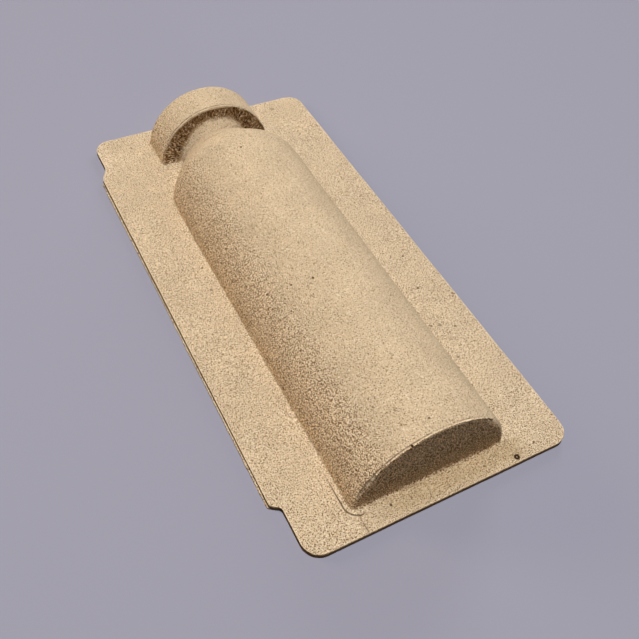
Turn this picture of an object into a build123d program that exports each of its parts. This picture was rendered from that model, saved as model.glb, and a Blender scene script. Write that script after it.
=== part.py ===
from build123d import *
import os
from math import cos, radians, sin, tan

# One half of a moulded pulp shell that holds a bottle in its shipping box, in millimetres.
# The bottle lies along Y, its base towards -Y and its cap towards +Y. Its axis lies in the
# plane of the flange's underside, z = 0, and the origin is the middle of that underside.

# The bottle, and the room that the pulp leaves around it
bottle_diameter = 73.0
bottle_length = 259.4
neck_diameter = 38.0
cap_diameter = 61.4
cap_length = 16.6
neck_length = 9.3
shoulder_angle = 33.0
fit_clearance = 0.5

# The pulp sheet, the lean of its end walls, and the roundings of its outer side
pulp_wall = 3.0
wall_draft = 1.5
shoulder_rounding = 18.0
neck_rounding = 3.0
base_rounding = 2.8
cap_front_rounding = 1.4
cap_back_rounding = 3.0
foot_rounding = 2.0
seat_over_foot_rounding = 0.2

# The flange around the shell
base_margin = 12.0
cap_margin = 10.4
side_margin = 31.0
corner_radius = 9.0
rim_bevel = 0.4

# The long edge at -X stands out between two notches and ends in a thin trim lip
notch_depth = 5.4
near_notch_from_end = 26.2
near_notch_run = 3.6
near_notch_rounding = 2.2
far_notch_from_end = 25.0
far_notch_run = 9.6
far_notch_rounding = 8.0
lip_width = 1.1
lip_thickness = 1.0

# Sizes that follow from those above
room = fit_clearance + pulp_wall
cap_seat_rounding = foot_rounding + seat_over_foot_rounding
body_radius = bottle_diameter / 2 + room
neck_radius = neck_diameter / 2 + room
cap_radius = cap_diameter / 2 + room
shell_length = bottle_length + 2 * room
flange_length = base_margin + shell_length + cap_margin
flange_width = 2 * (body_radius + side_margin)
base_wall_y = base_margin - flange_length / 2
cap_back_y = base_wall_y + shell_length
cap_front_y = cap_back_y - cap_length - 2 * room
cap_middle_y = (cap_front_y + cap_back_y) / 2
neck_y = cap_front_y + room - neck_length + room * tan(radians(shoulder_angle / 2))
shoulder_y = neck_y - (body_radius - neck_radius) / tan(radians(shoulder_angle))


# The plane of an end wall that faces -Y or +Y and leans back as it rises from the flange
def end_plane(y, facing, inset):
    normal = Vector(0, facing * cos(radians(wall_draft)), sin(radians(wall_draft)))
    return Plane(origin=Vector(0, y, pulp_wall) - normal * inset, x_dir=(1, 0, 0), z_dir=normal)


# Rounds an end wall's rim, by what the sheet's thickness leaves of the outer rounding
def round_rim(end_wall, outer_rounding, inset):
    if outer_rounding > inset:
        fillet(end_wall.edges(), radius=outer_rounding - inset)


# Body, shoulder and neck, turned about the bottle's axis, with the base wall cut flat
def barrel_solid(inset):
    overrun = body_radius
    with BuildPart() as barrel:
        with BuildSketch():
            with BuildLine():
                FilletPolyline(
                    (0, base_wall_y - overrun),
                    (body_radius, base_wall_y - overrun),
                    (body_radius, shoulder_y),
                    (neck_radius, neck_y),
                    (neck_radius, cap_back_y + overrun),
                    (0, cap_back_y + overrun),
                    radius=[0, shoulder_rounding, neck_rounding, 0],
                )
                mirror(about=Plane.YZ)
            make_face()
            if inset:
                offset(amount=-inset, kind=Kind.INTERSECTION)
            split(bisect_by=Plane.YZ)
        revolve(axis=Axis.Y)
        split(bisect_by=end_plane(base_wall_y, -1, inset), keep=Keep.BOTTOM)
        round_rim(faces().sort_by(Axis.Y)[0], base_rounding, inset)
        split(bisect_by=Plane(origin=(0, cap_middle_y, 0), z_dir=(0, 1, 0)), keep=Keep.BOTTOM)
    return barrel.part


# The cap's short drum, flat at both ends
def cap_solid(inset):
    with BuildPart() as cap:
        with BuildSketch(Plane(origin=(0, cap_middle_y, 0), x_dir=(1, 0, 0), z_dir=(0, 1, 0))):
            Circle(cap_radius - inset)
        extrude(amount=shell_length, both=True)
        split(bisect_by=end_plane(cap_front_y, -1, inset), keep=Keep.BOTTOM)
        split(bisect_by=end_plane(cap_back_y, 1, inset), keep=Keep.BOTTOM)
        round_rim(faces().sort_by(Axis.Y)[0], cap_front_rounding, inset)
        round_rim(faces().sort_by(Axis.Y)[-1], cap_back_rounding, inset)
    return cap.part


# The upper half of the bottle's form: the shell's outside at inset 0, its cavity at the wall
def bottle_form(inset):
    barrel = barrel_solid(inset)
    cap = cap_solid(inset)
    with BuildPart() as form:
        add(barrel)
        add(cap)
        cap_front = faces().filter_by(GeomType.PLANE).sort_by(
            lambda face: abs(face.center().Y - cap_front_y - inset)
        )[0]
        fillet(cap_front.inner_wires()[0].edges(), radius=cap_seat_rounding + inset)
        split(bisect_by=Plane.XY)
    return form.part


# The flange's outline, with its long edge at -X drawn back by the given amount
def flange_sketch(draw_back):
    half_length = flange_length / 2
    half_width = flange_width / 2
    notch_x = notch_depth - half_width
    edge_x = draw_back - half_width
    run = (notch_depth - draw_back) / notch_depth
    near_notch_y = near_notch_from_end - half_length
    far_notch_y = half_length - far_notch_from_end
    with BuildSketch() as outline:
        with BuildLine():
            FilletPolyline(
                (half_width, -half_length),
                (half_width, half_length),
                (notch_x, half_length),
                (notch_x, far_notch_y),
                (edge_x, far_notch_y - run * far_notch_run),
                (edge_x, near_notch_y + run * near_notch_run),
                (notch_x, near_notch_y),
                (notch_x, -half_length),
                radius=[corner_radius] * 3
                + [far_notch_rounding] * 2
                + [near_notch_rounding] * 2
                + [corner_radius],
                close=True,
            )
        make_face()
    return outline.sketch


outside = bottle_form(0)
cavity = bottle_form(pulp_wall)
flange_outline = flange_sketch(lip_width)
lip_outline = flange_sketch(0)

with BuildPart() as bottle_insert:
    extrude(flange_outline, amount=pulp_wall)
    chamfer(faces().sort_by(Axis.Z)[-1].edges(), length=rim_bevel)
    extrude(lip_outline, amount=lip_thickness)
    add(outside)
    flange_top = faces().filter_by(Plane.XY).sort_by(Axis.Z)[-1]
    fillet(flange_top.inner_wires()[0].edges(), radius=foot_rounding)
    add(cavity, mode=Mode.SUBTRACT)
    underside = faces().sort_by(Axis.Z)[0]
    fillet(underside.inner_wires()[0].edges(), radius=foot_rounding + pulp_wall)

bottle_insert.part.label = "bottle_insert"
os.makedirs("parts", exist_ok=True)
export_step(bottle_insert.part, "parts/bottle_insert.step")
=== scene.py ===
from math import atan2, cos, degrees, hypot, radians, sin
from types import SimpleNamespace

import bmesh
import bpy
from mathutils import Matrix, Vector, noise
from mathutils.bvhtree import BVHTree


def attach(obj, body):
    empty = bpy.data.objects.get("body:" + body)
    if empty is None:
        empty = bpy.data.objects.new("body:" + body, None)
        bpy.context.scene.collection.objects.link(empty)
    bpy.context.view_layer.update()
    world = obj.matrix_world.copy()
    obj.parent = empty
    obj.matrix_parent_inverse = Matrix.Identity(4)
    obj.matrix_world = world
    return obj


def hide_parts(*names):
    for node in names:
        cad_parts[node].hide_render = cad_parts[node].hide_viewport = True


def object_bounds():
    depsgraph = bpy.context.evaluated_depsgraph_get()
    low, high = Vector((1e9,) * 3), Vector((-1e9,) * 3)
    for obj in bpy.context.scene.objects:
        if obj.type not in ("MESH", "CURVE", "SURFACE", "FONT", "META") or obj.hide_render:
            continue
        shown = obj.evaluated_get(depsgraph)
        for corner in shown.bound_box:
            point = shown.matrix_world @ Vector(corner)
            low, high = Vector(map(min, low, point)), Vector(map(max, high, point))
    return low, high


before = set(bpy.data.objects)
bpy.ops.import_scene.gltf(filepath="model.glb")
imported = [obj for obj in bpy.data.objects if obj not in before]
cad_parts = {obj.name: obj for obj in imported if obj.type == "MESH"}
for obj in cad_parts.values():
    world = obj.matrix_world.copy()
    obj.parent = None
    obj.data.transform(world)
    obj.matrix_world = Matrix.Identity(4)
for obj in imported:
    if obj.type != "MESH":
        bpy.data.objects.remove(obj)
cadBox = [list(corner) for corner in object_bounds()]
mm = 0.001
halfSpan, halfLength, top = (round(far / mm, 1) for far in cadBox[1])
sheet = 3.0  # the wall's thickness in millimetres
draft = 0.026  # how far the end walls lean back for each millimetre of height
print("frame loaded")

# the camera stands at the insert's base end, to its left and above it
cameraSetup = {
    "place": (-136.62, -245.34, 305.42),  # millimetres
    "looking": (0.33912, 0.53943, -0.77072),
    "up": (0.31884, 0.70488, 0.63363),
    "lens": 43.6,
    "sensor": 36.0,
    "photoSize": 639,  # pixels each way
}


def cameraAxes(setup):
    looking = Vector(setup["looking"]).normalized()
    right = looking.cross(Vector(setup["up"])).normalized()
    return looking, right, right.cross(looking)


def makeCamera(setup):
    looking, right, up = cameraAxes(setup)
    camera = bpy.data.objects.new("camera", bpy.data.cameras.new("camera"))
    bpy.context.scene.collection.objects.link(camera)
    camera.data.sensor_width = setup["sensor"]
    camera.data.lens = setup["lens"]
    camera.data.clip_start = 0.01
    turn = Matrix((right, up, -looking)).transposed().to_4x4()
    camera.matrix_world = Matrix.Translation(Vector(setup["place"]) * mm) @ turn
    bpy.context.scene.camera = camera


def underPixel(setup, pixel, surface):  # the point of the surface that a pixel of the photo shows
    looking, right, up = cameraAxes(setup)
    half = setup["photoSize"] / 2
    focal = setup["lens"] / setup["sensor"] * setup["photoSize"]
    ray = looking * focal + right * (pixel[0] - half) + up * (half - pixel[1])
    return surface.ray_cast(Vector(setup["place"]) * mm, ray.normalized())[0] / mm


makeCamera(cameraSetup)
print("camera placed")


# writes a node tree as plain sums: a value may be a number or another node's output
class Nodes:
    def __init__(self, tree):
        self.tree = tree

    def add(self, kind):
        return self.tree.nodes.new("ShaderNode" + kind)

    def plug(self, socket, value):
        if isinstance(value, bpy.types.NodeSocket):
            self.tree.links.new(value, socket)
        else:
            socket.default_value = value

    def calc(self, operation, *values):
        node = self.add("Math")
        node.operation = operation
        for socket, value in zip(node.inputs, values):
            self.plug(socket, value)
        return node.outputs[0]

    def chain(self, operation, values):
        total = values[0]
        for value in values[1:]:
            total = self.calc(operation, total, value)
        return total

    def times(self, *values):
        return self.chain("MULTIPLY", values)

    def plus(self, *values):
        return self.chain("ADD", values)

    def most(self, *values):
        return self.chain("MAXIMUM", values)

    def least(self, *values):
        return self.chain("MINIMUM", values)

    def minus(self, first, second):
        return self.calc("SUBTRACT", first, second)

    def size(self, value):
        return self.calc("ABSOLUTE", value)

    def ramp(self, value, start, whole, low=0.0, high=1.0):
        node = self.add("MapRange")
        node.interpolation_type = "SMOOTHSTEP"
        for socket, number in zip(node.inputs, (value, start, whole, low, high)):
            self.plug(socket, number)
        return node.outputs["Result"]

    def gap(self, place, spot):
        node = self.add("VectorMath")
        node.operation = "DISTANCE"
        for socket, value in zip(node.inputs, (place, spot)):
            self.plug(socket, value)
        return node.outputs["Value"]

    def noise(self, place, scale, detail, roughness, distortion=0.0):
        node = self.add("TexNoise")
        self.plug(node.inputs["Vector"], place)
        node.inputs["Scale"].default_value = scale
        node.inputs["Detail"].default_value = detail
        node.inputs["Roughness"].default_value = roughness
        node.inputs["Distortion"].default_value = distortion
        return node.outputs["Fac"]

    def stretchedNoise(self, place, sizes, turn, distortion=0.0):
        mapping = self.add("Mapping")
        self.plug(mapping.inputs["Vector"], place)
        mapping.inputs["Rotation"].default_value = (0.0, 0.0, radians(turn))
        mapping.inputs["Scale"].default_value = [1 / size for size in sizes]
        return self.noise(mapping.outputs["Vector"], 1.0, 1.0, 0.5, distortion)

    def blend(self, amount, first, second, how="MIX"):
        node = self.add("Mix")
        node.data_type = "RGBA"
        node.blend_type = how
        for name, value in (("Factor", amount), ("A", first), ("B", second)):
            self.plug(node.inputs[name], value)
        return node.outputs["Result"]

    def tinted(self, share, colour, tint):  # the tint is one value, or one for each channel
        node = self.add("CombineColor")
        for socket, value in zip(node.inputs[:3], tint if isinstance(tint, tuple) else [tint] * 3):
            self.plug(socket, value)
        return self.blend(share, colour, node.outputs["Color"], "MULTIPLY")

    def shownRays(self):  # the rays that show a surface, and not those that light by it
        rays = self.add("LightPath").outputs
        return self.most(rays["Is Camera Ray"], rays["Is Glossy Ray"], rays["Is Transmission Ray"])


def fromScreen(red, green, blue):  # a colour as a screen shows it, 0 to 255
    def one(level):
        level /= 255
        return level / 12.92 if level <= 0.04045 else ((level + 0.055) / 1.055) ** 2.4
    return (one(red), one(green), one(blue), 1.0)


# the insert's sheet: the solid's own surface, cut finer, slightly uneven, with a torn trimmed
# edge. Lengths are in millimetres.
shellForm = {
    "cell": 2.2,  # spacing of the cuts across the sheet
    "rimCell": 0.9,  # and along the trimmed edge
    "rimLevels": (0.5, 1.05, 1.6, 2.15),
    "rimFrom": (60, 138),  # the trimmed edge lies further out than this, along X or Y
    "turnStep": 3.0,  # degrees between cuts along the body
    "bodyRadii": (40.0, 37.0),  # outside and inside
    "bodyEnds": (-129.5, 69.0),
    "shoulderFrom": 78.0,
    "waves": ((24.0, 0.14), (8.5, 0.07)),  # size, depth
    "arrisCuts": (((1, 0, 0), 70.0), ((1, 0, 0), -68.9), ((0, 1, 0), 143.4), ((0, 1, 0), -143.4)),
    # how far the trimmed edge is torn at each height, and how dark the painted shade at its foot is
    # there
    "edgeWear": {0.0: 0.25, 0.5: 0.4, 1.05: 0.5, 1.6: 0.4, 2.15: 0.22, 2.6: 0.1, 3.0: 0.08},
    "edgeFootShade": {0.0: 0.6, 0.5: 0.45, 1.05: 0.3, 1.6: 0.15},
    "edgeTears": ((0.55, 1.4, 3.0), (0.45, 5.0, 5.0)),  # share, size, seed
    "arrisOut": 0.3,
    # the near edge is torn less, so that its dark side shows nearly as wide as in the photo
    "nearWear": 0.4, "nearArrisOut": 0.08,
    # the thin lip along the left edge, and the foot of the taller edge that stands over it
    "lip": {"edge": -70.5, "inner": -70.2, "wallFrom": -69, "wearAndShade": 0.8, "sag": 0.25,
            "torn": 0.3, "wallTorn": 0.7, "pale": (1.05, 0.6), "lipCornerShade": {1.05: 0.85, 1.6: 0.5}},
    # a groove is pressed in behind both rims: where it lies along Y at the flange's height,
    # half its width, its depth and the part of the arch it follows in degrees
    "baseRim": {"cuts": (-131.3, -131.0, -130.7, -130.4, -130.15, -129.95, -129.75, -129.5),
                "groove": (-131.15, 0.42, 0.28, 60, 124), "radii": (37.1, 40.1)},
    "capRim": {"cuts": (110.55, 110.9, 111.3, 111.6, 111.9, 112.2, 112.6),
               "groove": (111.2, 0.4, 0.2, 8, 132), "radii": (32.7, 34.3)},
    "grooveFade": 12,  # degrees at either end
    "archFrom": 4,  # heights over this belong to the arch and not to the flange
    # the sheet is crisp round the foot and over the top of the base wall, and fibre makes a
    # ramp of the corner between neck and cap
    "halfWidth": 39.9, "baseWall": -132.4, "baseRounding": 2.8, "crispRim": 1.3,
    "crispFrom": (40, 16), "crispTo": (136, 22),  # the arch's part, and its fade, in degrees
    "footRounding": 2.0, "crispFoot": 0.45, "footEnd": 72, "footFade": 12,
    "neckRadius": 22.5, "capRadius": 34.2, "capFront": 110.4, "capRounding": 1.4, "crispCap": 1.2,
    "rampRise": 4.4, "rampSlope": 1.5, "rampMiddle": 98, "rampSpread": 68,  # the last two: degrees
}


def cutAcross(mesh, faces, normal, distances):  # halves the job at its middle cut each time
    if not faces or not distances:
        return
    middle = len(distances) // 2
    distance = distances[middle] * mm
    normal = Vector(normal)
    parts = list({part for face in faces for part in (face, *face.edges, *face.verts)})
    cut = bmesh.ops.bisect_plane(
        mesh, geom=parts, dist=1e-7, plane_co=normal * distance, plane_no=normal)
    sides = ([], [])
    for part in cut["geom"]:
        if isinstance(part, bmesh.types.BMFace):
            sides[part.calc_center_median().dot(normal) > distance].append(part)
    cutAcross(mesh, sides[0], normal, distances[:middle])
    cutAcross(mesh, sides[1], normal, distances[middle + 1:])


def spread(low, high, step):
    count = int((high - low) / step)
    return [low + (high - low) * (index + 0.5) / count for index in range(count)]


def isLevel(face):
    return abs(face.normal.z) > 0.999


def isEndWall(face):
    return abs(face.normal.y) > 0.99


def runsAlong(face):  # a face of a straight stretch, whose section stays the same along Y
    return abs(face.normal.y) < 0.01


def onRim(face):  # the flange's trimmed edge with its bevel and lip
    middle = face.calc_center_median() / mm
    outside = any(abs(reach) > limit for reach, limit in zip(middle, shellForm["rimFrom"]))
    return outside and (abs(face.normal.z) < 0.9 or 0.9 < middle.z < 1.1)


def inRounding(face, rim):  # the rounding at a rim of the base wall or the cap's front
    middle = face.calc_center_median() / mm
    low, high = rim["radii"]
    return (min(rim["cuts"]) - 0.6 < middle.y < max(rim["cuts"]) + 0.9
            and middle.z > shellForm["archFrom"] and low < hypot(middle.x, middle.z) < high)


def cutFiner(mesh, form):
    def cut(test, normal, distances):
        cutAcross(mesh, [face for face in mesh.faces if test(face)], normal, distances)

    def onBody(face):
        middle = face.calc_center_median() / mm
        return (runsAlong(face) and not isLevel(face) and low < middle.y < high
                and hypot(middle.x, middle.z) < form["bodyRadii"][0] + 0.01)

    low, high = form["bodyEnds"]
    alongX, alongY, alongZ = (1, 0, 0), (0, 1, 0), (0, 0, 1)
    for rim in (form["baseRim"], form["capRim"]):
        cut(lambda face: inRounding(face, rim), alongY, rim["cuts"])
    cut(onRim, alongZ, form["rimLevels"])
    cut(onRim, alongY, spread(-halfLength, halfLength, form["rimCell"]))
    cut(onRim, alongX, spread(-halfSpan, halfSpan, form["rimCell"]))
    for normal, distance in form["arrisCuts"]:
        cut(lambda face: face.normal.z > 0.999 and face.calc_center_median().z / mm > 2.9,
            normal, (distance,))
    for angle in range(0, 180, int(form["turnStep"])):
        turn = radians(angle + form["turnStep"] / 2)
        cut(onBody, (sin(turn), 0, cos(turn)), (0,))
    cut(lambda face: isEndWall(face) and not onRim(face), alongZ, spread(0, top, form["cell"]))
    cut(lambda face: (isLevel(face) or isEndWall(face)) and not onRim(face),
        alongX, spread(-halfSpan, halfSpan, form["cell"]))
    cut(lambda face: hypot(face.normal.x, face.normal.z) > 0.9 and not onRim(face)
        and (runsAlong(face) or face.calc_center_median().y / mm > form["shoulderFrom"]),
        alongY, spread(-halfLength, halfLength, form["cell"]))


def makeShell(form):
    mesh = bmesh.new()
    mesh.from_mesh(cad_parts["bottle_insert"].data)
    bmesh.ops.remove_doubles(mesh, verts=mesh.verts, dist=1e-6)
    mesh.normal_update()
    needless = [edge for edge in mesh.edges if len(edge.link_faces) == 2
                and edge.calc_face_angle() < radians(0.2)
                and all(not isLevel(face) and abs(face.normal.y) < 0.9
                        for face in edge.link_faces)]
    bmesh.ops.dissolve_edges(mesh, edges=needless, use_verts=False)
    mesh.normal_update()

    cutFiner(mesh, form)
    bmesh.ops.remove_doubles(mesh, verts=mesh.verts, dist=3e-5)
    loose = [edge for edge in mesh.edges if not edge.link_faces]
    bmesh.ops.delete(mesh, geom=loose, context="EDGES")
    mesh.normal_update()
    print("shell cut finer:", len(mesh.faces), "faces")

    low, high = (end * mm for end in form["bodyEnds"])
    for vertex in mesh.verts:  # cuts through a flat facet of the body go out to its true radius
        across = hypot(*vertex.co.xz)
        for radius in form["bodyRadii"]:
            if low < vertex.co.y < high and abs(across - radius * mm) < 0.08 * mm:
                vertex.co.x *= radius * mm / across
                vertex.co.z *= radius * mm / across
    mesh.normal_update()
    wearMesh(mesh, form)
    mesh.normal_update()
    for face in mesh.faces:
        face.smooth = True
    for edge in mesh.edges:
        edge.smooth = edge.calc_face_angle(0.0) < radians(38)
    return mesh


def grainAt(place, size, seed=0.0):  # 0 to 1
    return min(1.0, max(0.0, 0.5 + 0.75 * noise.noise(place / size + Vector((seed, seed, seed)))))


def crisper(side, up, old, new):  # carries a point of a wide rounding onto a narrow one
    # side and up are its distances from the rounding's middle, each from 0 to old
    turn = atan2(max(0.0, side), max(0.0, up))
    flat = old - new
    length = turn / radians(90) * (2 * flat + new * radians(90))
    if length < flat:
        return length, old
    if length > flat + new * radians(90):
        return old, old - (length - flat - new * radians(90))
    turn = (length - flat) / new
    return flat + new * sin(turn), flat + new * cos(turn)


def wallAt(foot, place):  # where a leaning end wall stands at a point's height
    return foot + draft * (place.z - sheet)


def outFromAxis(place):
    return Vector((place.x, 0, place.z)).normalized()


def neckRamp(place, form, arch):  # how far the ramp between neck and cap lifts a point
    wall = wallAt(form["capFront"], place)
    swing = radians(90 * (arch - form["rampMiddle"]) / form["rampSpread"])
    rise = form["rampRise"] * max(0.0, cos(swing)) ** 1.7
    run = rise * form["rampSlope"]
    along = place.y - (wall - run)
    lift = hypot(place.x, place.z) - form["neckRadius"]
    if rise < 0.2 or along < 0 or lift > rise:
        return Vector((0, 0, 0))
    share = (along + max(0.0, lift)) / (run + rise)
    across = outFromAxis(place) * (form["neckRadius"] + share * rise)
    return Vector((across.x, wall - run * (1 - share), across.z)) - place


def crispRim(place, wall, outer, old, new):  # a rim between a wall that faces -Y and an arch
    up, side = hypot(place.x, place.z) - (outer - old), wall + old - place.y
    if up <= 0 or side <= 0 or hypot(up, side) < old - 0.3:
        return Vector((0, 0, 0))
    up, side = crisper(up, side, old, new)
    across = outFromAxis(place) * (outer - old + up)
    return Vector((across.x, wall + old - side, across.z)) - place


def crispFoot(place, form):  # the foot round the body, which fades out towards the shoulder
    old, foot = form["baseRounding"], form["footRounding"]
    corner = Vector((abs(place.x) - (form["halfWidth"] - old), form["baseWall"] + old - place.y))
    out = Vector((max(0.0, corner.x), max(0.0, corner.y)))
    gap = out.length + min(0.0, max(corner.x, corner.y)) - old
    if not 0 <= gap < foot or out.length < 1e-6:
        return Vector((0, 0, 0))
    new = foot + (form["crispFoot"] - foot) * min(
        1.0, (form["footEnd"] - place.y) / form["footFade"])
    side, up = crisper(foot - gap, sheet + foot - place.z, foot, new)
    out = out.normalized() * (gap - (foot - side))
    return Vector((-out.x if place.x > 0 else out.x, out.y, sheet + foot - up - place.z))


def crispBase(place, form, arch):  # the rim over the end wall and the foot round the body
    old = form["baseRounding"]
    wall = wallAt(form["baseWall"], place)
    if place.z > 6 and place.y < wall + old:
        (low, lowFade), (high, highFade) = form["crispFrom"], form["crispTo"]
        share = min(1.0, max(0.0, (arch - low) / lowFade), max(0.0, (high - arch) / highFade))
        new = old + (form["crispRim"] - old) * share
        return crispRim(place, wall, form["bodyRadii"][0], old, new)
    if place.z < 5.0 and place.y < form["footEnd"]:
        return crispFoot(place, form)
    return Vector((0, 0, 0))


def wearEdge(vertex, place, form):  # how far a point of the trimmed edge moves, and its paint
    outward = Vector((0, 0, 0))
    for face in vertex.link_faces:
        if onRim(face) and abs(face.normal.z) < 0.9:
            outward += Vector((face.normal.x, face.normal.y, 0))
    move = Vector((0, 0, 0))
    if outward.length == 0:
        return move, (0.0, 0.0, 0.0, 0.0)
    outward.normalize()
    lip = form["lip"]
    nearest = min(sorted(form["edgeWear"]), key=lambda height: abs(height - place.z))
    depth = form["edgeWear"][nearest]
    if place.x < lip["edge"]:  # the thin lip tears further in
        depth = lip["wearAndShade"]
        move.z -= lip["sag"] * max(0.0, place.z) * grainAt(place, 2.3, 7.0)
    ragged = sum(share * grainAt(place, size, seed) for share, size, seed in form["edgeTears"])
    isNear = outward.y < -0.7
    move -= outward * depth * ragged * (form["nearWear"] if isNear else 1.0)
    if place.z > 2.8:  # the arris is crisp and painted pale, as a painted highlight
        move += outward * (form["nearArrisOut"] if isNear else form["arrisOut"])
        return move, (0.0, 0.0, 1.0, form["edgeFootShade"].get(nearest, 0.0))
    if place.x < lip["inner"]:
        paleLevel, pale = lip["pale"]
        return move, (lip["torn"], pale if nearest == paleLevel else 0.0, 0.0, 0.0)
    if place.x < lip["wallFrom"]:  # the taller edge is dark only where it meets the lip: torn, with painted shade in that corner
        return move, (lip["wallTorn"], 0.0, 0.0, lip["lipCornerShade"].get(nearest, 0.0))
    return move, (1.0, 0.0, 0.0, form["edgeFootShade"].get(nearest, 0.0))


def pressGroove(place, move, rim, arch):  # how deep the groove behind a rim is at a point
    middle, width, depth, low, high = rim["groove"]
    inner, outer = rim["radii"]
    if not (low < arch < high and inner < hypot(place.x, place.z) < outer):
        return 0.0
    fade = min(1.0, (arch - low) / shellForm["grooveFade"], (high - arch) / shellForm["grooveFade"])
    fade *= 0.3 + 0.7 * grainAt(place, 4.0, 9.0)
    lean = (place + move).y - wallAt(0, place)
    return depth * fade * max(0.0, 1 - abs(lean - middle) / width)


def wearMesh(mesh, form):
    # red: torn edge, green: pale lip, blue: arris painted pale as a highlight, alpha: painted shade
    # at the edge's foot and in the lip's corner
    wearAndShade = mesh.verts.layers.float_color.new("wearAndShade")
    moves = []
    for vertex in mesh.verts:
        place = vertex.co / mm
        arch = degrees(atan2(place.z, -place.x))
        radius = hypot(place.x, place.z)
        move = -vertex.normal * sum(
            depth * grainAt(place, size, depth) for size, depth in form["waves"])
        if place.z > form["archFrom"] and 100 < place.y < 112 and 22.3 < radius < 34.3:
            move += neckRamp(place, form, arch)
            wall = wallAt(form["capFront"], place)
            move += crispRim(place, wall, form["capRadius"], form["capRounding"], form["crispCap"])
        if place.y < form["footEnd"] and place.z > sheet + 0.02 and radius > 37.15:
            move += crispBase(place, form, arch)
        edgeMove, vertex[wearAndShade] = wearEdge(vertex, place, form)
        move += edgeMove
        if place.z > form["archFrom"]:
            for rim in (form["baseRim"], form["capRim"]):
                move -= outFromAxis(place) * pressGroove(place, move, rim, arch)
        moves.append(move)
    for vertex, move in zip(mesh.verts, moves):
        vertex.co += move * mm
        vertex.co.z = max(0.0, vertex.co.z)


def finish(mesh, name, material):
    piece = bpy.data.objects.new(name, bpy.data.meshes.new(name))
    mesh.normal_update()
    mesh.to_mesh(piece.data)
    mesh.free()
    bpy.context.scene.collection.objects.link(piece)
    piece.data.materials.append(material)
    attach(piece, "root")
    return piece


# felted fibre: a pale tan with fine grain, darker specks, fibres and a dark torn edge, with painted
# shade and painted highlights.
# Lengths are in millimetres.
pulpFinish = {
    "tan": fromScreen(231, 203, 166),
    "paleFibre": fromScreen(255, 238, 208),
    # pale fibre for the flecks and the lip, and for the painted highlights on the arris and the
    # rims
    "paleFleckAndHighlight": fromScreen(255, 230, 192),
    "darkFibre": fromScreen(112, 78, 42),
    "tornEdge": fromScreen(172, 138, 96),
    # dark specks, and the painted shade in creases, grooves and at the trimmed edge's foot
    "speckAndShade": fromScreen(66, 44, 22),
    # the cap's front: darkest, brown and light; its darkness is partly its own coarse fibre and
    # partly painted shade of its recess under the cap
    "capFront": (fromScreen(60, 38, 19), fromScreen(110, 77, 45), fromScreen(194, 156, 110)),
    # painted shade: a warmer tint on the body's shaded sides, standing in for the warm light in
    # their shade
    "shadedSidesTint": (1.12, 1.05, 0.97),
    # painted shade: the darker, browner tint of the shadow on the flange in front of the end wall
    "shadeStripTint": (0.82, 0.78, 0.70),
    "grainSize": 0.56, "fleckSize": 1.2, "coarseSize": 1.1, "cloudSize": 15.0,
    "fibreSize": (0.3, 2.2, 0.5), "fibreTurns": (25, 82, -38),
    "streakSize": (0.62, 1.7, 1.7), "streakTurn": 28, "unrollRadius": 28.0,
    "grainDepth": 0.72,
    "roughness": 0.95, "specular": 0.1,
    "fibreShare": 0.6, "lineShare": 0.75, "rimLineShare": 0.7, "rimHighlightShare": 0.9,
    # the shaded sides get stronger grain and more dark flecks, as painted shade
    "shadedSidesGrain": 1.4, "shadedSidesFlecks": 0.03, "shadedSidesMost": 1.5, "tuftLift": 0.06,
    "speckEdge": (1.2, 0.6), "paleEdge": (1.0, 0.4), "paleFleckShare": 0.7,  # of the radius
    # how much each of these lifts or lowers the surface, as a share of the grain's own height
    "relief": {"fleck": 1.5, "strand": 0.25, "capFront": 2.5, "spot": -0.8, "line": -0.6},
    # dark specks: the pixel of the photo where each shows, its radius and its strength
    "specks": (
        ((534, 442), 0.55, 0.8), ((168.7, 180.7), 0.6, 0.6), ((195, 240.6), 0.6, 0.6),
        ((431, 326), 0.7, 0.6), ((452, 293), 0.6, 0.7), ((429, 418), 0.6, 0.7),
        ((412, 446), 0.6, 1.0), ((403, 256), 0.6, 0.8), ((418, 288), 0.7, 0.9),
        ((241, 147), 0.6, 1.0), ((313, 278), 0.6, 0.9), ((291, 285), 0.5, 0.9),
        ((267, 295), 0.6, 0.8), ((236, 248), 0.5, 0.6), ((226, 249), 0.7, 0.9),
        ((202, 268), 0.6, 0.8), ((391, 505), 0.6, 0.9), ((338, 481), 0.6, 0.9),
        ((272, 109), 1.6, 0.35), ((315, 429), 0.6, 0.9), ((131, 148), 0.6, 0.6),
        ((455, 326), 0.6, 0.7), ((440, 325), 1.1, 0.5), ((458, 357), 0.8, 0.5),
        ((291.3, 311.3), 0.5, 0.9), ((232.4, 281.3), 0.5, 0.9), ((211, 289.8), 0.6, 0.7),
        ((240.5, 294.5), 0.5, 0.8),
    ),
    "paleFlecks": (((226, 337), 1.1), ((221, 367), 0.9)),
    "ringPit": (517, 457),
}

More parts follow.
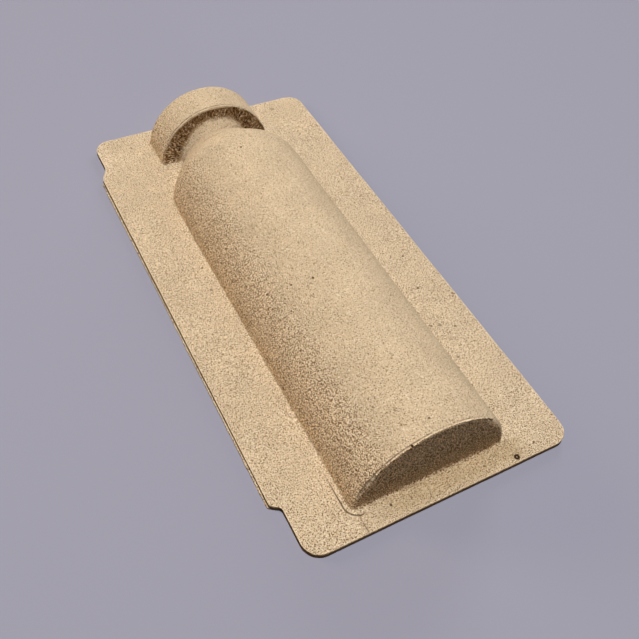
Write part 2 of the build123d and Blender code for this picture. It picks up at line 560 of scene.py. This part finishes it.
# where each effect starts and where it is whole, and what it leads from and to where that isn't
# 0 and 1. The places are in millimetres. Those of the noises are in the noise's own 0 to 1.
bands = {
    "capFront": {
        "face": (110.75, 110.55), "neckSide": (108.6, 109.8), "foot": (2.9, 3.8),
        "fray": (0.3, 0.7, -1.2, 1.2), "start": (0.6, 1.0, 22.4, 26.3), "edge": (0.0, 0.8),
        "rim": (6.0, 18.0, 32.5, 34.4), "leftRim": (-14.0, -24.0, 0.0, 0.6),
        "rimFray": (0.3, 0.7, -0.25, 0.25), "rimEdge": (-0.2, 0.25),
        "light": (0.36, 0.60), "darkest": (0.45, 0.34), "tufts": (0.60, 0.66),
        "tuftSide": (-17.0, -21.0), "tuftHeight": (23.0, 18.0),
    },
    # the body's shaded left side, painted with stronger grain, more dark flecks and a warmer tint
    "leftSide": {"side": (-20.0, -37.0), "foot": (3.2, 6.0)},
    # painted shade on the end wall: its height band makes it darker at its foot and paler towards
    # its top; its coarse band varies the tone at random
    "endWall": {
        "face": (-131.9, -132.2), "foot": (3.3, 4.2, 0.0, 2.2), "paler": (0.0, 1.0, 1.0, 0.5),
        "height": (6.0, 34.0, 0.9, 1.28), "coarse": (0.36, 0.64, 0.72, 1.2),
    },
    # the body's grain calms towards its top, and its shade band paints the upper body a little
    # darker, as painted shade
    "body": {"grain": (6.0, 24.0, 1.08, 0.78), "shade": (4.0, 20.0, 1.0, 0.91)},
    "fibre": {
        "pale": (0.54, 0.67), "dark": (0.465, 0.30), "fleck": (0.38, 0.26),
        "strands": ((0.66, 0.76), (0.67, 0.77), (0.67, 0.77)), "clouds": (0.3, 0.7, 0.95, 1.04),
    },
    "upperSide": (1.6, 2.4),
    # painted shade: where the flange in front of the end wall is painted darker and browner
    "shadeStrip": {
        "far": (-131.9, -132.5), "near": (-144.3, -139.0, 0.3, 1.0),
        "left": (-42.0, -12.0), "right": (52.0, 40.0), "height": (3.8, 3.2),
    },
    # painted shade in the crease round the foot's near corner
    "crease": {
        "width": (0.42, 0.12), "near": (-104.0, -124.0), "side": (33.0, 36.5),
        "height": (4.6, 3.6), "right": (30.0, -30.0, 0.35, 1.0),
    },
    "mouldLine": {"width": (0.38, 0.1), "near": (-135.4, -136.2)},
    # painted shade in a crease on the shoulder towards the neck
    "neckLine": {
        "width": (0.9, 0.3), "left": (-17.5, -13.0), "right": (2.0, -5.0),
        "height": (20.0, 24.0, 0.0, 0.5), "outside": (30.6, 31.2),
    },
    "broken": {"clouds": (0.38, 0.5, 0.35, 1.0), "fleck": (0.36, 0.52, 0.45, 1.0)},
    "rimHeight": (9.0, 18.0),
    # dark lines of painted shade in the grooves behind the rims, and painted highlights on the rims
    "baseLine": {"width": (0.42, 0.15), "outside": (38.6, 39.3), "right": (26.0, 18.0)},
    "capLine": {
        "width": (0.38, 0.15), "outside": (33.0, 33.6), "right": (20.0, 10.0),
        "left": (-33.0, -26.0),
    },
    "baseRimHighlight": {
        "face": (-131.45, -131.65), "outside": (38.5, 38.9), "left": (-12.0, -3.0),
        "right": (26.0, 18.0),
    },
    "capRimHighlight": {
        "face": (111.05, 110.9), "rim": (0.25, -0.2), "height": (9.0, 14.0), "far": (107.0, 108.0),
    },
    "ring": {"outer": (1.7, 1.1), "inner": (0.15, 0.55, 0.3, 1.0)},
    "tornFleck": (0.35, 0.6, 1.0, 0.72),
    # painted highlight along the flange's arris
    "arris": (0.6, 0.9, 0.0, 0.8),
}

# the lines that the mould left, in millimetres; the dark lines in the creases and in the grooves
# behind the rims are painted shade
lines = {
    "crease": {"halfWidth": 42.0, "halfDepth": 135.6, "rounding": 6.5},
    "mouldLineX": -37.6, "mouldLineShare": 0.6, "neckLineY": 90.2,
    "baseLineY": -131.15, "capLineY": 111.25,
    "wander": 1.2, "creaseWander": 0.2, "rimWander": 0.25,
}


def measure(nodes, finish):  # the places and noises that the pulp is worked out from
    scaled = nodes.add("VectorMath")
    scaled.operation = "SCALE"
    nodes.plug(scaled.inputs[0], nodes.add("TexCoord").outputs["Object"])
    scaled.inputs["Scale"].default_value = 1 / mm
    place = scaled.outputs["Vector"]
    apart = nodes.add("SeparateXYZ")
    nodes.plug(apart.inputs[0], place)
    x, y, z = apart.outputs
    across = nodes.calc("SQRT", nodes.plus(nodes.times(x, x), nodes.times(z, z)))
    turned = nodes.add("CombineXYZ")  # unrolled about the bottle's axis
    around = nodes.times(nodes.calc("ARCTAN2", z, x), finish["unrollRadius"])
    for socket, value in zip(turned.inputs, (around, across, y)):
        nodes.plug(socket, value)
    clouds = nodes.noise(place, 1 / finish["cloudSize"], 3.0, 0.55)
    return SimpleNamespace(
        place=place, x=x, y=y, z=z, across=across, clouds=clouds,
        lean=nodes.minus(y, nodes.times(nodes.minus(z, sheet), draft)),
        grain=nodes.noise(place, 1 / finish["grainSize"], 1.0, 0.5),
        fleck=nodes.noise(place, 1 / finish["fleckSize"], 2.0, 0.6, 0.4),
        coarse=nodes.noise(place, 1 / finish["coarseSize"], 2.0, 0.6, 0.6),
        streaks=nodes.stretchedNoise(
            turned.outputs[0], finish["streakSize"], finish["streakTurn"], 0.9),
        strands=[nodes.ramp(nodes.stretchedNoise(place, finish["fibreSize"], turn), *band)
                 for turn, band in zip(finish["fibreTurns"], bands["fibre"]["strands"])],
        wander=nodes.times(nodes.minus(clouds, 0.5), lines["wander"]),
        above=nodes.ramp(z, *bands["upperSide"]))


def capFrontShare(nodes, at):  # it frays where the neck runs into it
    band = bands["capFront"]
    frayed = nodes.plus(at.across, nodes.ramp(at.streaks, *band["fray"]))
    start = nodes.ramp(nodes.calc("DIVIDE", at.z, at.across), *band["start"])
    front = nodes.times(
        nodes.ramp(at.lean, *band["face"]), nodes.ramp(at.lean, *band["neckSide"]),
        nodes.ramp(nodes.minus(frayed, start), *band["edge"]), nodes.ramp(at.z, *band["foot"]))
    # its rim stays pale, but for the right side
    rimGap = nodes.plus(
        nodes.minus(nodes.ramp(at.x, *band["rim"]), at.across),
        nodes.ramp(at.x, *band["leftRim"]), nodes.ramp(at.streaks, *band["rimFray"]))
    return nodes.times(front, nodes.ramp(rimGap, *band["rimEdge"])), rimGap


def capFrontColour(nodes, finish, at):  # coarse, brown and streaked, with a few pale tufts; painted darker than the rest of the pulp, partly for its own coarse fibre and partly as painted shade of its recess under the cap
    band = bands["capFront"]
    darkest, brown, light = finish["capFront"]
    colour = nodes.blend(nodes.ramp(at.coarse, *band["light"]), brown, light)
    colour = nodes.blend(nodes.ramp(at.streaks, *band["darkest"]), colour, darkest)
    tuft = nodes.times(
        nodes.ramp(at.x, *band["tuftSide"]), nodes.ramp(at.z, *band["tuftHeight"]),
        finish["tuftLift"])
    tuft = nodes.ramp(nodes.plus(at.streaks, tuft), *band["tufts"])
    return nodes.blend(tuft, colour, finish["paleFibre"])


def fibreColour(nodes, finish, at, shadedSides, endWall, calmer):
    band = bands["fibre"]
    grainContrast = nodes.plus(nodes.times(shadedSides, finish["shadedSidesGrain"]), calmer)
    contrastedGrain = nodes.plus(nodes.times(nodes.minus(at.grain, 0.5), grainContrast), 0.5)
    palest = nodes.times(
        nodes.ramp(contrastedGrain, *band["pale"]), nodes.ramp(endWall, *bands["endWall"]["paler"]))
    colour = nodes.blend(palest, finish["tan"], finish["paleFibre"])
    colour = nodes.blend(nodes.ramp(contrastedGrain, *band["dark"]), colour, finish["darkFibre"])
    # the shaded sides are painted with more dark flecks, as painted shade
    more = nodes.times(nodes.least(shadedSides, finish["shadedSidesMost"]), finish["shadedSidesFlecks"])
    fleck = nodes.ramp(nodes.minus(at.fleck, more), *band["fleck"])
    share = finish["fibreShare"]
    paleStrand = nodes.most(*at.strands[:2])
    colour = nodes.blend(nodes.times(fleck, share), colour, finish["darkFibre"])
    colour = nodes.blend(nodes.times(paleStrand, share), colour, finish["paleFibre"])
    colour = nodes.blend(nodes.times(at.strands[2], share), colour, finish["darkFibre"])
    # painted shade: the body's upper part is painted a little darker than the flange, fitted to the
    # brightness in the photo; the clouds vary the tone at random
    shade = nodes.times(
        nodes.ramp(at.clouds, *band["clouds"]), nodes.ramp(at.z, *bands["body"]["shade"]))
    return nodes.tinted(1.0, colour, shade), paleStrand


def paintedShade(nodes, finish, at, colour, shadedSides, endWall):
    # painted shade: the shaded sides are tinted warmer
    colour = nodes.tinted(nodes.least(shadedSides, 1.0), colour, finish["shadedSidesTint"])
    # painted shade: the end wall is painted darker at its foot and paler towards its top, fitted to
    # the photo under this scene's lamps, and its coarse grain varies the tone at random
    band = bands["endWall"]
    shade = nodes.times(nodes.ramp(at.z, *band["height"]), nodes.ramp(at.coarse, *band["coarse"]))
    colour = nodes.tinted(nodes.least(endWall, 1.0), colour, shade)
    band = bands["shadeStrip"]  # painted shade: the flange in front of the end wall is painted darker and browner, as the shadow that falls there
    shadeStrip = nodes.times(
        nodes.ramp(at.y, *band["far"]), nodes.ramp(at.y, *band["near"]),
        nodes.ramp(at.x, *band["left"]), nodes.ramp(at.x, *band["right"]),
        at.above, nodes.ramp(at.z, *band["height"]))
    return nodes.tinted(shadeStrip, colour, finish["shadeStripTint"])


def fromOutline(nodes, at, halfWidth, halfDepth, rounding):  # from a rectangle's rounded outline
    gapX = nodes.minus(nodes.size(at.x), halfWidth - rounding)
    gapY = nodes.minus(nodes.size(at.y), halfDepth - rounding)
    outX, outY = nodes.most(gapX, 0.0), nodes.most(gapY, 0.0)
    out = nodes.calc("SQRT", nodes.plus(nodes.times(outX, outX), nodes.times(outY, outY)))
    inside = nodes.least(nodes.most(gapX, gapY), 0.0)
    return nodes.size(nodes.minus(nodes.plus(out, inside), rounding))


def creaseShadeAndMouldLine(nodes, at):  # dark lines: painted shade in a crease round the foot's near corner and in a crease on the shoulder, and a fine line of the mould
    band = bands["crease"]
    gap = nodes.plus(fromOutline(nodes, at, **lines["crease"]),
                     nodes.times(at.wander, lines["creaseWander"]))
    crease = nodes.times(
        nodes.ramp(gap, *band["width"]), nodes.ramp(at.y, *band["near"]),
        nodes.ramp(nodes.size(at.x), *band["side"]), nodes.ramp(at.z, *band["height"]),
        at.above, nodes.ramp(at.x, *band["right"]))
    band = bands["mouldLine"]
    gap = nodes.size(nodes.plus(at.x, -lines["mouldLineX"], at.wander))
    mouldLine = nodes.times(
        nodes.ramp(gap, *band["width"]), nodes.ramp(at.y, *band["near"]), at.above,
        lines["mouldLineShare"])
    band = bands["neckLine"]
    gap = nodes.size(nodes.minus(nodes.plus(at.y, at.wander), lines["neckLineY"]))
    neckLine = nodes.times(
        nodes.ramp(gap, *band["width"]), nodes.ramp(at.x, *band["left"]),
        nodes.ramp(at.x, *band["right"]), nodes.ramp(at.z, *band["height"]),
        nodes.ramp(at.across, *band["outside"]))
    return nodes.most(crease, mouldLine, neckLine)


def rimShadeAndHighlight(nodes, at, rimGap):  # broken dark lines of painted shade in the grooves behind both rims, and painted highlights on the rims
    broken = nodes.times(nodes.ramp(at.clouds, *bands["broken"]["clouds"]),
                         nodes.ramp(at.fleck, *bands["broken"]["fleck"]))

    def lineAt(along, band):
        gap = nodes.plus(at.lean, nodes.times(at.wander, lines["rimWander"]), -along)
        return nodes.times(
            nodes.ramp(nodes.size(gap), *band["width"]),
            nodes.ramp(at.across, *band["outside"]), nodes.ramp(at.x, *band["right"]))

    capLine = nodes.times(lineAt(lines["capLineY"], bands["capLine"]),
                          nodes.ramp(at.x, *bands["capLine"]["left"]))
    behind = nodes.times(
        nodes.most(lineAt(lines["baseLineY"], bands["baseLine"]), capLine),
        nodes.ramp(at.z, *bands["rimHeight"]), broken)
    band = bands["baseRimHighlight"]
    rimHighlight = nodes.times(
        nodes.ramp(at.lean, *band["face"]), nodes.ramp(at.across, *band["outside"]),
        nodes.ramp(at.x, *band["left"]), nodes.ramp(at.x, *band["right"]))
    band = bands["capRimHighlight"]
    capRimHighlight = nodes.times(
        nodes.ramp(at.lean, *band["face"]), nodes.ramp(rimGap, *band["rim"]),
        nodes.ramp(at.z, *band["height"]), nodes.ramp(at.y, *band["far"]))
    return behind, nodes.times(nodes.most(rimHighlight, capRimHighlight), broken)


def speckShare(nodes, finish, at, placeOf):
    spots = 0.0
    outer, inner = finish["speckEdge"]
    for pixel, radius, strength in finish["specks"]:
        gap = nodes.gap(at.place, placeOf(pixel))
        spot = nodes.ramp(gap, radius * outer, radius * inner, 0.0, strength)
        spots = nodes.most(spots, spot)
    gap = nodes.gap(at.place, placeOf(finish["ringPit"]))
    ring = nodes.times(nodes.ramp(gap, *bands["ring"]["outer"]),
                       nodes.ramp(gap, *bands["ring"]["inner"]))
    return nodes.most(spots, ring)


# the pale lip and flecks, with painted highlights along the arris and the rims
def paleShare(nodes, finish, at, placeOf, lip, arris, rimHighlight):
    pale = lip
    outer, inner = finish["paleEdge"]
    for pixel, radius in finish["paleFlecks"]:
        gap = nodes.gap(at.place, placeOf(pixel))
        fleck = nodes.ramp(gap, radius * outer, radius * inner, 0.0, finish["paleFleckShare"])
        pale = nodes.most(pale, fleck)
    arris = nodes.ramp(arris, *bands["arris"])
    return nodes.most(pale, arris, nodes.times(rimHighlight, finish["rimHighlightShare"]))


def makePulp(finish, placeOf):
    material = bpy.data.materials.new("feltedPulp")
    material.use_nodes = True
    nodes = Nodes(material.node_tree)
    shader = material.node_tree.nodes["Principled BSDF"]
    at = measure(nodes, finish)
    attribute = nodes.add("Attribute")
    attribute.attribute_name = "wearAndShade"
    wearAndShade = nodes.add("SeparateColor")
    nodes.plug(wearAndShade.inputs[0], attribute.outputs["Color"])
    torn, lip, arris = wearAndShade.outputs[:3]
    # alpha: painted shade at the foot of the trimmed edge and in the corner where the taller edge
    # meets the lip
    edgeShade = attribute.outputs["Alpha"]

    # painted shade: the body's shaded left side and its end wall get stronger grain, more dark
    # fibre and a warmer tint; its top gets calmer grain
    band = bands["endWall"]
    endWall = nodes.times(nodes.ramp(at.lean, *band["face"]), nodes.ramp(at.z, *band["foot"]))
    band = bands["leftSide"]
    leftSide = nodes.times(nodes.ramp(at.x, *band["side"]), nodes.ramp(at.z, *band["foot"]))
    shadedSides = nodes.most(leftSide, endWall)
    calmer = nodes.ramp(at.z, *bands["body"]["grain"])

    front, rimGap = capFrontShare(nodes, at)
    creaseShadeAndLines = creaseShadeAndMouldLine(nodes, at)
    behind, rimHighlight = rimShadeAndHighlight(nodes, at, rimGap)
    spots = speckShare(nodes, finish, at, placeOf)
    pale = paleShare(nodes, finish, at, placeOf, lip, arris, rimHighlight)
    colour, paleStrand = fibreColour(nodes, finish, at, shadedSides, endWall, calmer)
    colour = nodes.blend(front, colour, capFrontColour(nodes, finish, at))
    colour = paintedShade(nodes, finish, at, colour, shadedSides, endWall)
    # blends in dark lines and specks, painted shade of creases, grooves and the edge's foot, pale
    # flecks with painted highlights, and the torn edge
    for share, over in (
            (nodes.times(creaseShadeAndLines, finish["lineShare"]), "speckAndShade"),
            (nodes.times(behind, finish["rimLineShare"]), "speckAndShade"),
            (spots, "speckAndShade"),
            (pale, "paleFleckAndHighlight"),
            (nodes.times(torn, nodes.ramp(at.fleck, *bands["tornFleck"])), "tornEdge"),
            (edgeShade, "speckAndShade")):
        colour = nodes.blend(share, colour, finish[over])
    nodes.plug(shader.inputs["Base Color"], colour)
    shader.inputs["Roughness"].default_value = finish["roughness"]
    shader.inputs["Specular IOR Level"].default_value = finish["specular"]

    relief = finish["relief"]
    height = nodes.plus(
        nodes.times(nodes.plus(at.grain, nodes.times(at.fleck, relief["fleck"])), calmer),
        nodes.times(paleStrand, relief["strand"]),
        nodes.times(front, at.coarse, relief["capFront"]),
        nodes.times(spots, relief["spot"]), nodes.times(creaseShadeAndLines, relief["line"]))
    bump = nodes.add("Bump")
    bump.inputs["Strength"].default_value = 1.0
    bump.inputs["Distance"].default_value = finish["grainDepth"] * mm
    nodes.plug(bump.inputs["Height"], height)
    nodes.plug(shader.inputs["Normal"], bump.outputs["Normal"])
    return material


shellMesh = makeShell(shellForm)
surface = BVHTree.FromBMesh(shellMesh)
pulp = makePulp(pulpFinish, lambda pixel: underPixel(cameraSetup, pixel, surface))
shell = finish(shellMesh, "pulpShell", pulp)
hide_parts("bottle_insert")
print("shell made:", len(shell.data.polygons), "faces")

# a plain floor, a soft lamp overhead, two weaker ones low behind the cap end and a faint one
# in front
studio = {
    "floorColour": fromScreen(155, 153, 167),
    "floorBounce": (0.06, 0.058, 0.065, 1.0),  # what the insert gets back from the floor
    "floorSize": 4.0,
    "floorRoughness": 0.95,
    "surround": fromScreen(104, 102, 112),  # what the camera sees past the floor
    "lamps": {  # place, size across, power, colour
        "overheadLamp": ((0.0, -0.08, 2.2), 0.15, 45.0, (1.0, 1.0, 1.0)),
        "backRightLamp": ((1.48, 1.48, 0.68), 0.8, 14.5, (1.0, 1.0, 1.0)),
        "backLeftLamp": ((-1.48, 1.48, 0.68), 0.8, 15.0, (1.0, 0.82, 0.62)),
        "frontLamp": ((0.0, -2.17, 0.36), 0.4, 4.8, (1.0, 0.93, 0.86)),
    },
}


def makeFloor(setup):
    bpy.ops.mesh.primitive_plane_add(size=setup["floorSize"])
    floor = bpy.context.object
    floor.name = "floor"
    paint = bpy.data.materials.new("floorPaint")
    paint.use_nodes = True
    nodes = Nodes(paint.node_tree)
    shader = paint.node_tree.nodes["Principled BSDF"]
    colour = nodes.blend(nodes.shownRays(), setup["floorBounce"], setup["floorColour"])
    nodes.plug(shader.inputs["Base Color"], colour)
    shader.inputs["Roughness"].default_value = setup["floorRoughness"]
    shader.inputs["Specular IOR Level"].default_value = 0.0
    floor.data.materials.append(paint)


def makeLamps(lamps):  # each one is turned towards the insert
    for name, (lampPlace, size, power, tint) in lamps.items():
        lamp = bpy.data.lights.new(name, "AREA")
        lamp.size = size
        lamp.energy = power
        lamp.color = tint
        stand = bpy.data.objects.new(name, lamp)
        bpy.context.scene.collection.objects.link(stand)
        stand.location = lampPlace
        stand.rotation_mode = "QUATERNION"
        stand.rotation_quaternion = (-stand.location).to_track_quat("-Z", "Y")


def makeSurround(setup):
    world = bpy.data.worlds.new("surround")
    world.use_nodes = True
    nodes = Nodes(world.node_tree)
    background = world.node_tree.nodes["Background"]
    background.inputs["Color"].default_value = setup["surround"]
    nodes.plug(background.inputs["Strength"], nodes.shownRays())
    bpy.context.scene.world = world


makeFloor(studio)
makeLamps(studio["lamps"])
makeSurround(studio)
bpy.context.scene.view_settings.view_transform = "Standard"
print("studio lit")
